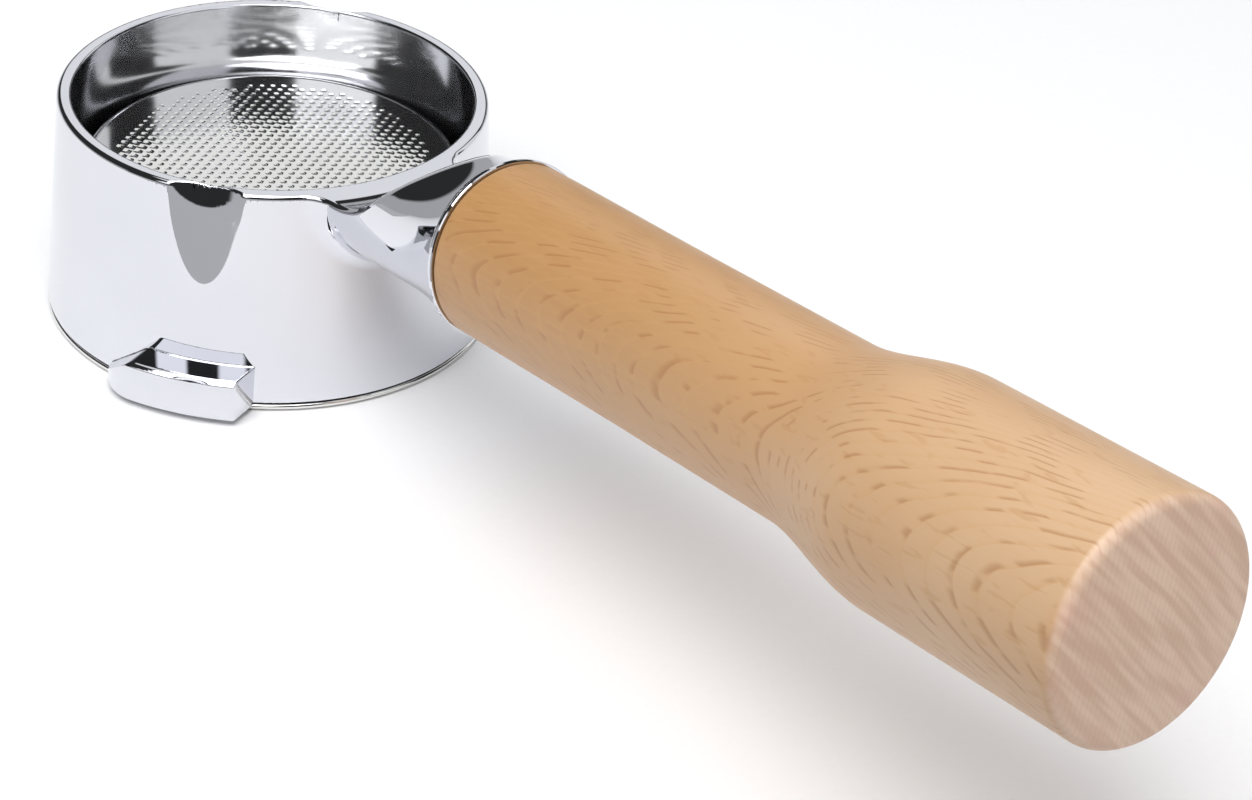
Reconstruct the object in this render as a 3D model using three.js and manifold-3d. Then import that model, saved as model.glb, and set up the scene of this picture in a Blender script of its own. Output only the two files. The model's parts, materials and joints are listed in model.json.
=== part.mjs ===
// Bottomless portafilter, 58 mm class, lying upside down on its basket rim.
// Millimetres, +Z up. The ring's axis is vertical and the handle runs along +X, rising as it goes.
import * as THREE from 'three';
import { mergeVertices } from 'three/addons/utils/BufferGeometryUtils.js';
import Module from 'manifold-3d';

const wasm = await Module();
wasm.setup();

// ---- driving dimensions -------------------------------------------------------------------
const GAP = 0.3;                 // clearance between neighbouring pieces
const SIDES = 64;                // facets round a large circle
const DEG = Math.PI / 180;

const RING_BOTTOM = 1.4;         // ring's lower edge, above the basket's flange
const RING_TOP = 35.9;           // open spout-side rim
const RING_R_BOTTOM = 35.0;      // outer radius at the lower edge
const RING_R_TOP = 33.0;         // outer radius at the rim, so the wall tapers
const RING_BORE_R = 30.8;
const RING_EDGE = 0.5;           // chamfer on the ring's edges

const SPRING_Z = 8.0;            // height of the retaining spring's groove
const SPRING_WIRE_R = 0.65;
const SPRING_R = 31.05;          // mean radius of the spring's wire
const SPRING_WAVE = 0.25;        // how far its three flats pull inward
const SPRING_OPEN = 36 * DEG;    // gap between the spring's two ends
const GROOVE_DEPTH = 1.35;
const GROOVE_HALF = 1.1;

const BASKET_FLANGE_R = 35.0;
const BASKET_FLANGE_T = 1.1;
const BASKET_WALL_R = 30.1;      // outer radius of the cup at its mouth
const BASKET_FOOT_R = 29.7;      // outer radius near the perforated floor
const BASKET_FLOOR_Z = 24.8;     // outer face of the perforated floor
const BASKET_CORNER = 3.0;       // bend between floor and wall
const BASKET_SHEET = 0.7;        // sheet thickness

const LUG_COUNT = 2;
const LUG_LOW = 1.0;
const LUG_HIGH = 7.6;            // flat bearing face
const LUG_R = 39.9;
const LUG_BEVEL = 0.9;           // between the bearing face and the outer face
// Azimuths of the first lug: its outer face ends square at one side and runs into the wall at the other.
const LUG_WALL_END = -35.6 * DEG;
const LUG_OUTER_END = -39.5 * DEG;
const LUG_RAMP_TOP = -63.5 * DEG;
const LUG_RAMP_MIDDLE = -71 * DEG;
const LUG_RAMP_MIDDLE_R = 37.3;
const LUG_RAMP_FOOT = -75 * DEG;
const LUG_RAMP_SLOPE = 36 * DEG;

const SCALLOP_AZIMUTH = -48.5 * DEG;
// Each scallop is a long shallow cut and a short deeper one at the rim: [centre outside the wall,
// then radial, sideways and upright half sizes].
const SCALLOP_CUTS = [
  [2.0, 3.0, 7.0, 20.5],
  [3.2, 5.0, 6.9, 8.1],
];

const AXIS_HEIGHT = 32.1;        // handle axis height on the ring's axis
const AXIS_RISE = 6.45 * DEG;    // the handle's rise outward
const NECK_START = 31.5;         // distances along the handle axis from the ring's axis
const NECK_WAIST = 50;
const NECK_END = 62.2;
const NECK_WAIST_R = 11.4;
const NECK_END_R = 13.1;
const SADDLE_INNER = 33.4;       // radius from the ring's axis where the neck's top starts to rise
const SADDLE_RADIUS = 10;        // concave sweep out of the rim
const SADDLE_SLOPE = 50;         // degrees, from there up to the neck's back

const STUD_R = 4.9;
const STUD_FROM = 50;
const STUD_TO = 78;
const STUD_HOLE_R = STUD_R + GAP;

const WASHER_T = 0.7;
const WASHER_R = 13.4;

const INSERT_R = 6.5;
const INSERT_FROM = 65;
const INSERT_TO = 79;

const WOOD_FRONT = 63.3;
const WOOD_LENGTH = 127.2;
const WOOD_THIN_R = 12.85;       // front two fifths
const WOOD_THICK_R = 16.2;       // rear
const WOOD_END_EDGE = 1.5;       // rounding of the end face's edge
const WOOD_DOME = 0.8;           // crown of the end face

// ---- small tools --------------------------------------------------------------------------
const v2 = (x, y) => new THREE.Vector2(x, y);

// A lathe solid about +Z from [radius, height] points; LatheGeometry itself turns about +Y.
function turned(points, sides = SIDES) {
  const profile = points.map(([r, z]) => v2(r, z));
  const geometry = new THREE.LatheGeometry(profile, sides);
  geometry.rotateX(Math.PI / 2);
  return geometry;
}

// Closes a profile that doesn't touch the axis.
const closed = (points) => [...points, points[0]];

function toSolid(geometry) {
  const copy = geometry.clone();
  copy.deleteAttribute('normal');
  copy.deleteAttribute('uv');
  const merged = mergeVertices(copy, 1e-4);
  const mesh = new wasm.Mesh({
    numProp: 3,
    vertProperties: new Float32Array(merged.attributes.position.array),
    triVerts: new Uint32Array(merged.index.array),
  });
  const solid = new wasm.Manifold(mesh);
  return solid.volume() < 0 ? new wasm.Manifold(flipped(mesh)) : solid;
}

function flipped(mesh) {
  const tris = new Uint32Array(mesh.triVerts);
  for (let i = 0; i < tris.length; i += 3) {
    [tris[i], tris[i + 1]] = [tris[i + 1], tris[i]];
  }
  return new wasm.Mesh({ numProp: 3, vertProperties: mesh.vertProperties, triVerts: tris });
}

function fromSolid(solid) {
  const mesh = solid.getMesh();
  const geometry = new THREE.BufferGeometry();
  geometry.setAttribute('position', new THREE.BufferAttribute(new Float32Array(mesh.vertProperties), 3));
  geometry.setIndex(new THREE.BufferAttribute(new Uint32Array(mesh.triVerts), 1));
  geometry.computeVertexNormals();
  return geometry;
}

// Turns a solid that stands on +Z so that it lies along the handle axis.
function alongHandle(geometry) {
  geometry.rotateY(Math.PI / 2 - AXIS_RISE);
  geometry.translate(0, 0, AXIS_HEIGHT);
  return geometry;
}

function arcPoints(cx, cy, radius, from, to, steps) {
  const points = [];
  for (let i = 0; i <= steps; i += 1) {
    const a = (from + ((to - from) * i) / steps) * DEG;
    points.push([cx + radius * Math.cos(a), cy + radius * Math.sin(a)]);
  }
  return points;
}

// ---- head: ring, lugs, neck ----------------------------------------------------------------
const ringOuterAt = (z) => {
  const f = (z - RING_BOTTOM) / (RING_TOP - RING_BOTTOM);
  return RING_R_BOTTOM + (RING_R_TOP - RING_R_BOTTOM) * f;
};

function ring() {
  return turned(closed([
    [RING_R_BOTTOM - RING_EDGE, RING_BOTTOM],
    [RING_R_BOTTOM, RING_BOTTOM + RING_EDGE],
    [ringOuterAt(RING_TOP - RING_EDGE), RING_TOP - RING_EDGE],
    [RING_R_TOP - RING_EDGE, RING_TOP],
    [RING_BORE_R + RING_EDGE, RING_TOP],
    [RING_BORE_R, RING_TOP - RING_EDGE],
    [RING_BORE_R, SPRING_Z + GROOVE_HALF],
    [RING_BORE_R + GROOVE_DEPTH, SPRING_Z + GROOVE_HALF / 2],
    [RING_BORE_R + GROOVE_DEPTH, SPRING_Z - GROOVE_HALF / 2],
    [RING_BORE_R, SPRING_Z - GROOVE_HALF],
    [RING_BORE_R, RING_BOTTOM + RING_EDGE],
    [RING_BORE_R + RING_EDGE, RING_BOTTOM],
  ]));
}

const polar = (r, a) => [r * Math.cos(a), r * Math.sin(a)];

// The first bayonet lug seen from above: square end, outer arc, then a lead-in that fades into the wall.
function lugOutline(outer) {
  const inner = RING_BORE_R + 2;
  const shape = new THREE.Shape();
  shape.moveTo(...polar(inner, LUG_RAMP_FOOT));
  shape.lineTo(...polar(RING_R_BOTTOM - 0.3, LUG_RAMP_FOOT));
  shape.lineTo(...polar(Math.min(LUG_RAMP_MIDDLE_R, outer), LUG_RAMP_MIDDLE));
  shape.lineTo(...polar(outer - 0.3, LUG_RAMP_TOP - 0.02));
  shape.absarc(0, 0, outer, LUG_RAMP_TOP + 0.04, LUG_OUTER_END, false);
  shape.lineTo(...polar(RING_R_BOTTOM - 0.3, LUG_WALL_END));
  shape.absarc(0, 0, inner, LUG_WALL_END, LUG_RAMP_FOOT, true);
  return shape;
}

function lugLayer(outer, low, high) {
  const layer = new THREE.ExtrudeGeometry(lugOutline(outer), {
    depth: high - low, bevelEnabled: false, curveSegments: 8,
  });
  layer.translate(0, 0, low);
  return toSolid(layer);
}

// Outer bevel: the space outside a cone that leans in over the bearing face's edge.
function lugBevelSpace() {
  return turned(closed([
    [LUG_R, LUG_HIGH - LUG_BEVEL],
    [LUG_R + 5, LUG_HIGH - LUG_BEVEL],
    [LUG_R + 5, LUG_HIGH + 5],
    [LUG_R - LUG_BEVEL - 5, LUG_HIGH + 5],
  ]));
}

function lug() {
  const size = 20;
  const ramp = new THREE.BoxGeometry(size, size, size / 2);
  ramp.translate(0, -size / 2, size / 4);
  ramp.rotateX(LUG_RAMP_SLOPE);
  ramp.translate(LUG_R - 3, 0, LUG_HIGH);
  ramp.rotateZ(LUG_RAMP_TOP);
  return lugLayer(LUG_R, LUG_LOW, LUG_HIGH).subtract(toSolid(ramp)).subtract(toSolid(lugBevelSpace()));
}

function scallopCutters() {
  return SCALLOP_CUTS.map(([out, radial, across, tall]) => {
    const cutter = new THREE.SphereGeometry(1, 24, 16);
    cutter.scale(radial, across, tall);
    cutter.translate(RING_R_TOP + out, 0, RING_TOP);
    return cutter;
  });
}

const neckRadiusAt = (t) => {
  const f = Math.max(0, (t - NECK_WAIST) / (NECK_END - NECK_WAIST));
  return NECK_WAIST_R + (NECK_END_R - NECK_WAIST_R) * f * f;
};

function neck() {
  const steps = 6;
  const points = [[0, NECK_START], [NECK_WAIST_R, NECK_START]];
  for (let i = 0; i <= steps; i += 1) {
    const t = NECK_WAIST + ((NECK_END - NECK_WAIST) * i) / steps;
    points.push([neckRadiusAt(t), t]);
  }
  points.push([0, NECK_END]);
  return alongHandle(turned(points, 48));
}

// The space above the neck's saddle: a concave sweep out of the rim, then a slope to its back.
function saddleSpace() {
  const sweep = arcPoints(SADDLE_INNER, RING_TOP + SADDLE_RADIUS, SADDLE_RADIUS, -90, SADDLE_SLOPE - 90, 6);
  const [endR, endZ] = sweep[sweep.length - 1];
  const rise = 20;
  const outer = endR + rise / Math.tan(SADDLE_SLOPE * DEG);
  const inner = RING_BORE_R - 2;
  return turned(closed([[inner, RING_TOP], ...sweep, [outer, endZ + rise], [inner, endZ + rise]]));
}

function head() {
  const bore = turned([[0, -10], [RING_BORE_R, -10], [RING_BORE_R, 90], [0, 90]]);
  const flangeRoom = turned([
    [0, -10], [BASKET_FLANGE_R + GAP, -10], [BASKET_FLANGE_R + GAP, RING_BOTTOM], [0, RING_BOTTOM],
  ]);
  const studHole = alongHandle(turned([
    [0, STUD_FROM - 2], [STUD_HOLE_R, STUD_FROM], [STUD_HOLE_R, NECK_END + 5], [0, NECK_END + 5],
  ], 32));
  let solid = toSolid(neck()).subtract(toSolid(bore)).subtract(toSolid(saddleSpace())).add(toSolid(ring()));
  for (let i = 0; i < LUG_COUNT; i += 1) {
    const turn = (i * 2 * Math.PI) / LUG_COUNT;
    solid = solid.add(toSolid(fromSolid(lug()).rotateZ(turn)));
    scallopCutters().forEach((cutter) => {
      solid = solid.subtract(toSolid(cutter.rotateZ(SCALLOP_AZIMUTH + turn)));
    });
  }
  return fromSolid(solid.subtract(toSolid(flangeRoom)).subtract(toSolid(studHole)));
}

// ---- basket and its spring -------------------------------------------------------------------
function basket() {
  const bendR = BASKET_FOOT_R - BASKET_CORNER;
  const bendZ = BASKET_FLOOR_Z - BASKET_CORNER;
  const innerWall = BASKET_WALL_R - BASKET_SHEET;
  return turned([
    [0, BASKET_FLOOR_Z - BASKET_SHEET],
    ...arcPoints(bendR, bendZ, BASKET_CORNER - BASKET_SHEET, 90, 0, 4),
    [innerWall - 0.25, SPRING_Z + 1.2],
    [innerWall - 0.7, SPRING_Z],
    [innerWall - 0.1, SPRING_Z - 1.2],
    [innerWall, 0.8],
    [innerWall + 0.8, 0],
    [BASKET_FLANGE_R - 0.3, 0],
    [BASKET_FLANGE_R, 0.3],
    [BASKET_FLANGE_R, BASKET_FLANGE_T - 0.3],
    [BASKET_FLANGE_R - 0.3, BASKET_FLANGE_T],
    [BASKET_WALL_R + 0.5, BASKET_FLANGE_T],
    [BASKET_WALL_R, BASKET_FLANGE_T + 0.6],
    [BASKET_WALL_R - 0.1, SPRING_Z - 1.2],
    [BASKET_WALL_R - 0.7, SPRING_Z],
    [BASKET_WALL_R - 0.25, SPRING_Z + 1.2],
    ...arcPoints(bendR, bendZ, BASKET_CORNER, 0, 90, 5),
    [0, BASKET_FLOOR_Z],
  ]);
}

class SpringPath extends THREE.Curve {
  getPoint(f, target = new THREE.Vector3()) {
    const a = SPRING_OPEN / 2 + f * (2 * Math.PI - SPRING_OPEN);
    const r = SPRING_R - SPRING_WAVE * Math.cos(3 * a);
    return target.set(r * Math.cos(a), r * Math.sin(a), SPRING_Z);
  }
}

function spring() {
  const section = new THREE.Shape();
  section.absarc(0, 0, SPRING_WIRE_R, 0, 2 * Math.PI, false);
  return new THREE.ExtrudeGeometry(section, {
    steps: 56, curveSegments: 3, extrudePath: new SpringPath(), bevelEnabled: false,
  });
}

// ---- handle ------------------------------------------------------------------------------------
function stud() {
  const edge = 0.8;
  return alongHandle(turned([
    [0, STUD_FROM], [STUD_R - edge, STUD_FROM], [STUD_R, STUD_FROM + edge],
    [STUD_R, STUD_TO - edge], [STUD_R - edge, STUD_TO], [0, STUD_TO],
  ], 32));
}

function washer() {
  const from = (NECK_END + WOOD_FRONT - WASHER_T) / 2;
  return alongHandle(turned(closed([
    [STUD_HOLE_R, from], [WASHER_R, from], [WASHER_R, from + WASHER_T], [STUD_HOLE_R, from + WASHER_T],
  ]), 48));
}

function insert() {
  return alongHandle(turned(closed([
    [STUD_HOLE_R, INSERT_FROM], [INSERT_R, INSERT_FROM], [INSERT_R, INSERT_TO], [STUD_HOLE_R, INSERT_TO],
  ]), 32));
}

// Radius of the turned wood at a fraction of its length: a thin front, an S-shaped shoulder, a thick rear.
const smooth = (x) => {
  const c = Math.min(1, Math.max(0, x));
  return c * c * (3 - 2 * c);
};
const woodRadiusAt = (f) => {
  const front = WOOD_THIN_R + 0.2 * (1 - smooth(f / 0.3));
  const shoulder = (WOOD_THICK_R - WOOD_THIN_R) * smooth((f - 0.54) / 0.16);
  return front + shoulder;
};

function wood() {
  const end = WOOD_FRONT + WOOD_LENGTH;
  const points = [[0, INSERT_TO + 1], [INSERT_R + GAP, INSERT_TO + 1], [INSERT_R + GAP, WOOD_FRONT]];
  points.push([woodRadiusAt(0) - 0.3, WOOD_FRONT]);
  const stations = [0.003, 0.15, 0.3, 0.52, 0.56, 0.585, 0.61, 0.635, 0.66, 0.69, 0.72, 0.85];
  stations.forEach((f) => points.push([woodRadiusAt(f), WOOD_FRONT + f * WOOD_LENGTH]));
  const edgeR = WOOD_THICK_R - 0.2 - WOOD_END_EDGE;
  const edgeT = end - WOOD_DOME - WOOD_END_EDGE;
  points.push(...arcPoints(edgeR, edgeT, WOOD_END_EDGE, 0, 90, 4));
  points.push([edgeR * 0.7, end - WOOD_DOME * 0.5]);
  points.push([edgeR * 0.35, end - WOOD_DOME * 0.12]);
  points.push([0, end]);
  return alongHandle(turned(points, 56));
}

// ---- assembly ---------------------------------------------------------------------------------
const finishes = {
  chrome: { color: 0xd9dbe2, roughness: 0.08, metalness: 1.0 },
  steel: { color: 0xc6c8cb, roughness: 0.25, metalness: 1.0 },
  brass: { color: 0xb98f45, roughness: 0.35, metalness: 1.0 },
  beech: { color: 0xd3a873, roughness: 0.55, metalness: 0.0 },
};

const part = new THREE.Group();
const assembly = new THREE.Group();
part.add(assembly);

function place(name, geometry, finish) {
  const mesh = new THREE.Mesh(geometry, new THREE.MeshStandardMaterial(finishes[finish]));
  mesh.name = name;
  assembly.add(mesh);
}

place('portafilter_head', head(), 'chrome');
place('filter_basket', basket(), 'steel');
place('basket_spring', spring(), 'steel');
place('handle_stud', stud(), 'steel');
place('ferrule_washer', washer(), 'chrome');
place('threaded_insert', insert(), 'brass');
place('wooden_handle', wood(), 'beech');

// The origin is on the table, under the middle of the whole part.
const bounds = new THREE.Box3().setFromObject(assembly, true);
assembly.position.x = -(bounds.min.x + bounds.max.x) / 2;

export default part;
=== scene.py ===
"""Looks for a bottomless portafilter that lies upside down on its basket rim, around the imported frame."""
import json
import math

import bpy
import numpy as np
from mathutils import Euler, Matrix, Vector
from mathutils.geometry import delaunay_2d_cdt


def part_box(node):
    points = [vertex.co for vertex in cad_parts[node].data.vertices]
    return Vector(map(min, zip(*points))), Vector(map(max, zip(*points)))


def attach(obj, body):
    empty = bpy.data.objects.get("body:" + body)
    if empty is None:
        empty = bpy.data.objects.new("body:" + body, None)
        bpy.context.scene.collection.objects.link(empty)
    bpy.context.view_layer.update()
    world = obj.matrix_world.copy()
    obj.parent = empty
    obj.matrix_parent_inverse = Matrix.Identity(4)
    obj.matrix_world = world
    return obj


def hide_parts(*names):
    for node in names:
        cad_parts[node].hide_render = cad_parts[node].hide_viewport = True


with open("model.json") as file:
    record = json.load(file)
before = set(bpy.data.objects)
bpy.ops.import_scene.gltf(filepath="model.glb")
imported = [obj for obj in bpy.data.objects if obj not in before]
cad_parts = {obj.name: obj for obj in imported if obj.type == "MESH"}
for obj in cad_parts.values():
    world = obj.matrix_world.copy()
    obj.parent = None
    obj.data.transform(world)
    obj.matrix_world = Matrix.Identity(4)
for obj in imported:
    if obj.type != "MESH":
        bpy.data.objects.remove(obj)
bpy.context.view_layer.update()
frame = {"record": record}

MM = 0.001
DEG = math.pi / 180
TURN = 2 * math.pi

# ---- places taken from the frame, in millimetres ---------------------------------------------


def box_mm(node):
    low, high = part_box(node)
    return np.array(low) / MM, np.array(high) / MM


MOUNTS = {m["name"]: np.array(m["pos_m"]) / MM for m in frame["record"]["mounts"]}
BASKET_LOW, BASKET_HIGH = box_mm("filter_basket")
HEAD_LOW, HEAD_HIGH = box_mm("portafilter_head")
RING_X = (BASKET_LOW[0] + BASKET_HIGH[0]) / 2     # the ring's axis; y is 0
RING_TOP = MOUNTS["spout_side_rim_face"][2]
LUG_TOP = MOUNTS["lug_bearing_face"][2]
LUG_BOTTOM = HEAD_LOW[2]
FLANGE_R = (BASKET_HIGH[0] - BASKET_LOW[0]) / 2
FLOOR_Z = BASKET_HIGH[2]                          # outer face of the perforated floor

HANDLE_RISE = 6.45 * DEG
WASHER_MIDDLE = sum(box_mm("ferrule_washer")) / 2 - np.array([RING_X, 0, 0])
AXIS_Z = WASHER_MIDDLE[2] - WASHER_MIDDLE[0] * math.tan(HANDLE_RISE)

# ---- sizes of the head, in millimetres ------------------------------------------------------
RING_BOTTOM = 1.4
RING_R_BOTTOM = 35.0
RING_R_TOP = 33.0
BORE_R = 30.8
RIM_ROUND = 0.75                 # outer edge of the rim
BORE_ROUND = 0.45
SMALL_ROUND = 0.3                # edges of the scoops and of the ring's foot
GROOVE_Z = 8.0
GROOVE_R = 32.15
GROOVE_HALF = 0.9

LUG_R = 39.9
LUG_BEVEL = 0.65
LUG_ROUND = 0.22
LUG_SQUARE_OUT = -39.5 * DEG     # square end, at the outer face and at the wall
LUG_SQUARE_IN = -35.7 * DEG
LUG_WALL_R = 34.8
LUG_RAMP = -63.5 * DEG           # where the lead-in starts
LUG_RAMP_SLOPE = 36 * DEG
LUG_CORNER = 7.1                 # plan radius of the lead-in's end
LUG_FILLET = 0.12
FLANGE_PLAY = 0.3                # room round the basket's flange

FLUTE_AZIMUTH = -49.2 * DEG      # the shallow flute over each lug, and the deeper cut at its mouth
FLUTE = dict(out=2.0, depth=3.0, across=7.0, end=RING_TOP, tall=21.6, lean=0.0)
MOUTH = dict(out=3.1, depth=5.1, across=7.3, end=0.0, tall=10.0, lean=0.24)

NECK_START = 24.0
NECK_WAIST = 50.0
NECK_END = 62.2
NECK_WAIST_R = 11.4
NECK_END_R = 13.1
NECK_FILLET = 2.6                # between the neck and the ring's wall
CREST_ROUND = 1.3                # edge between the neck's side and its saddle
CREST_GROWTH = 8.0               # distance over which the rim's edge opens out into it
SADDLE_INNER = 34.2
SADDLE_R = 13.0
SADDLE_SLOPE = 47 * DEG
STUD_HOLE_R = 5.2
STUD_HOLE_FROM = 48.0

GRID = 0.62                      # cell of the net that the casting's surface is read on
SPLIT_TURN = 7 * DEG             # an edge is split where the surface turns by more than this
SPLIT_LEAST = 0.16


def round_cut(a, b, radius):
    """Where both are inside, with the edge between them rounded."""
    u, v = np.maximum(a + radius, 0), np.maximum(b + radius, 0)
    return np.minimum(-radius, np.maximum(a, b)) + np.hypot(u, v)


def fillet_join(a, b, radius):
    """Where either is inside, with a fillet between them."""
    u, v = np.maximum(radius - a, 0), np.maximum(radius - b, 0)
    return np.maximum(radius, np.minimum(a, b)) - np.hypot(u, v)


def wall_distance(r, z):
    """Signed distance to the ring's tapered outer wall."""
    taper = (RING_R_BOTTOM - RING_R_TOP) / (RING_TOP - RING_BOTTOM)
    outer = RING_R_BOTTOM - taper * (z - RING_BOTTOM)
    return (r - outer) / math.hypot(1, taper)


def saddle_distance(r, z):
    """Signed distance to the top: flat over the rim, then swept up to the neck's back."""
    reach = SADDLE_R * math.sin(SADDLE_SLOPE)
    run = np.clip(r - SADDLE_INNER, 0, reach)
    swept = SADDLE_R - np.sqrt(SADDLE_R ** 2 - run ** 2)
    slope = run / np.sqrt(SADDLE_R ** 2 - run ** 2)
    beyond = np.maximum(r - SADDLE_INNER - reach, 0) * math.tan(SADDLE_SLOPE)
    return (z - RING_TOP - swept - beyond) / np.sqrt(1 + slope ** 2)


def neck_distance(x, y, z):
    along = x * math.cos(HANDLE_RISE) + (z - AXIS_Z) * math.sin(HANDLE_RISE)
    up = -x * math.sin(HANDLE_RISE) + (z - AXIS_Z) * math.cos(HANDLE_RISE)
    radius = np.hypot(y, up)
    share = np.clip((along - NECK_WAIST) / (NECK_END - NECK_WAIST), 0, 1.2)
    outer = NECK_WAIST_R + (NECK_END_R - NECK_WAIST_R) * share ** 2
    flare = 2 * (NECK_END_R - NECK_WAIST_R) * share / (NECK_END - NECK_WAIST)
    side = (radius - outer) / np.sqrt(1 + flare ** 2)
    body = round_cut(side, along - NECK_END, 0.35)
    return np.maximum(body, NECK_START - along), radius, along


def turned_about(x, y, azimuth):
    """Coordinates outward along an azimuth and sideways to it."""
    c, s = math.cos(azimuth), math.sin(azimuth)
    return x * c + y * s, -x * s + y * c


def scoop_distance(x, y, z, wall, out, depth, across, end, tall, lean):
    """Signed distance to a round-ended scoop that follows the wall and can lean outward on its way down."""
    outward, side = turned_about(x, y, FLUTE_AZIMUTH)
    centre = out + lean * (RING_TOP - z)
    a, b, c = (centre - wall) / depth, side / across, np.minimum(z - end, 0) / tall
    k0 = np.sqrt(a * a + b * b + c * c)
    k1 = np.sqrt((a / depth) ** 2 + (b / across) ** 2 + (c / tall) ** 2)
    scoop = k0 * (k0 - 1) / np.maximum(k1, 1e-9)
    return np.where(outward > 0, scoop, 50.0)


def lug_distance(x, y, z, r):
    """Signed distance to the first lug: square at one end, a ramped and curved lead-in at the other."""
    x_ramp, y_ramp = turned_about(x, y, LUG_RAMP)
    corner = np.hypot(x_ramp - (LUG_R - LUG_CORNER), y_ramp) - LUG_CORNER
    outline = np.where(y_ramp < 0, corner, r - LUG_R)
    a = np.array([math.cos(LUG_SQUARE_OUT), math.sin(LUG_SQUARE_OUT)]) * LUG_R
    b = np.array([math.cos(LUG_SQUARE_IN), math.sin(LUG_SQUARE_IN)]) * LUG_WALL_R
    edge = (b - a) / np.linalg.norm(b - a)
    square = (x - a[0]) * edge[1] - (y - a[1]) * edge[0]
    plan = round_cut(outline, square, LUG_ROUND)
    bevel = (outline + (z - LUG_TOP) + LUG_BEVEL) * math.sqrt(0.5)
    ramp = (z - LUG_TOP - y_ramp * math.tan(LUG_RAMP_SLOPE)) * math.cos(LUG_RAMP_SLOPE)
    top = round_cut(z - LUG_TOP, ramp, 0.5)
    solid = round_cut(round_cut(plan, bevel, 0.1), top, LUG_ROUND)
    solid = round_cut(solid, LUG_BOTTOM - z, LUG_ROUND)
    flange_room = np.maximum(z - RING_BOTTOM, r - FLANGE_R - FLANGE_PLAY)
    solid = np.maximum(np.maximum(solid, -flange_room), BORE_R + 1.5 - r)
    return np.where(x_ramp > 0, solid, 50.0)


def head_distance(p):
    """Signed distance, in millimetres, to the cast head. p is an array of points about the ring's axis."""
    x, y, z = p[:, 0], p[:, 1], p[:, 2]
    r = np.hypot(x, y)
    wall = wall_distance(r, z)
    neck, neck_radius, along = neck_distance(x, y, z)
    solid = fillet_join(wall, neck, NECK_FILLET)
    edge = RIM_ROUND + (CREST_ROUND - RIM_ROUND) * np.clip((r - SADDLE_INNER) / CREST_GROWTH, 0, 1)
    solid = round_cut(solid, saddle_distance(r, z), edge)
    for half_turn in (1, -1):
        lug = lug_distance(x * half_turn, y * half_turn, z, r)
        solid = fillet_join(solid, lug, LUG_FILLET)
        mouth = scoop_distance(x * half_turn, y * half_turn, z, wall, **MOUTH)
        flute = scoop_distance(x * half_turn, y * half_turn, z, wall, **FLUTE)
        solid = round_cut(solid, -flute, SMALL_ROUND)
        solid = round_cut(solid, -mouth, SMALL_ROUND)
    solid = round_cut(solid, BORE_R - r, BORE_ROUND)
    low = np.where(r < FLANGE_R + FLANGE_PLAY, RING_BOTTOM - z, -50.0)
    solid = round_cut(solid, low, SMALL_ROUND)
    groove = np.maximum(r - GROOVE_R, np.abs(z - GROOVE_Z) - GROOVE_HALF)
    hole = np.maximum(neck_radius - STUD_HOLE_R, STUD_HOLE_FROM - along)
    return np.maximum(np.maximum(solid, -groove), -hole)


# ---- reading a surface off a distance field -----------------------------------------------------


def gradient(field, points, step=0.02):
    columns = []
    for axis in range(3):
        shift = np.zeros(3)
        shift[axis] = step
        columns.append(field(points + shift) - field(points - shift))
    return np.stack(columns, 1) / (2 * step)


def onto_surface(field, points, rounds=5):
    """Moves points along the gradient onto the field's surface."""
    for _ in range(rounds):
        slope = gradient(field, points)
        size = np.maximum((slope ** 2).sum(1), 0.2)
        move = np.clip(field(points) / size, -0.4, 0.4)
        points = points - move[:, None] * slope
    return points


def field_on_grid(field, axes):
    """Values at all grid points, in slabs along x."""
    slabs = []
    yy, zz = np.meshgrid(axes[1], axes[2], indexing="ij")
    for x in axes[0]:
        p = np.stack([np.full(yy.size, x), yy.ravel(), zz.ravel()], 1)
        slabs.append(field(p).reshape(yy.shape))
    return np.stack(slabs)


def surface_net(field, low, high, cell):
    """One vertex in each grid cell that the surface crosses, and a quad round each crossed grid edge."""
    axes = [np.arange(a, b + cell, cell) for a, b in zip(low, high)]
    value = field_on_grid(field, axes)
    inside = value < 0
    shape = np.array(value.shape) - 1
    total = np.zeros((*shape, 3))
    count = np.zeros(shape)
    corners = [(i, j) for i in (0, 1) for j in (0, 1)]
    crossings = []
    for axis in range(3):
        others = [a for a in range(3) if a != axis]
        near = [slice(None)] * 3
        far = [slice(None)] * 3
        near[axis], far[axis] = slice(0, -1), slice(1, None)
        a, b = value[tuple(near)], value[tuple(far)]
        crossed = inside[tuple(near)] != inside[tuple(far)]
        share = np.where(crossed, a / np.where(crossed, a - b, 1), 0)
        crossings.append(crossed)
        for i, j in corners:
            cut = [slice(None)] * 3
            cut[others[0]] = slice(i, i + shape[others[0]])
            cut[others[1]] = slice(j, j + shape[others[1]])
            here, part = crossed[tuple(cut)], share[tuple(cut)]
            total[..., axis] += np.where(here, part, 0)
            total[..., others[0]] += here * i
            total[..., others[1]] += here * j
            count += here
    active = count > 0
    index = -np.ones(shape, int)
    index[active] = np.arange(active.sum())
    cells = np.argwhere(active)
    spot = total[active] / count[active][:, None]
    points = np.array(low) + (cells + spot) * cell
    quads = []
    for axis, crossed in enumerate(crossings):
        u, v = [(1, 2), (2, 0), (0, 1)][axis]
        at = np.argwhere(crossed)
        at = at[(at[:, u] > 0) & (at[:, v] > 0) & (at[:, u] < shape[u]) & (at[:, v] < shape[v])]
        ring = []
        for du, dv in ((1, 1), (0, 1), (0, 0), (1, 0)):
            q = at.copy()
            q[:, u] -= du
            q[:, v] -= dv
            ring.append(index[tuple(q.T)])
        quad = np.stack(ring, 1)
        outward = inside[tuple(at.T)]
        quads.append(np.where(outward[:, None], quad, quad[:, ::-1]))
    return points, np.concatenate(quads)


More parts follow.
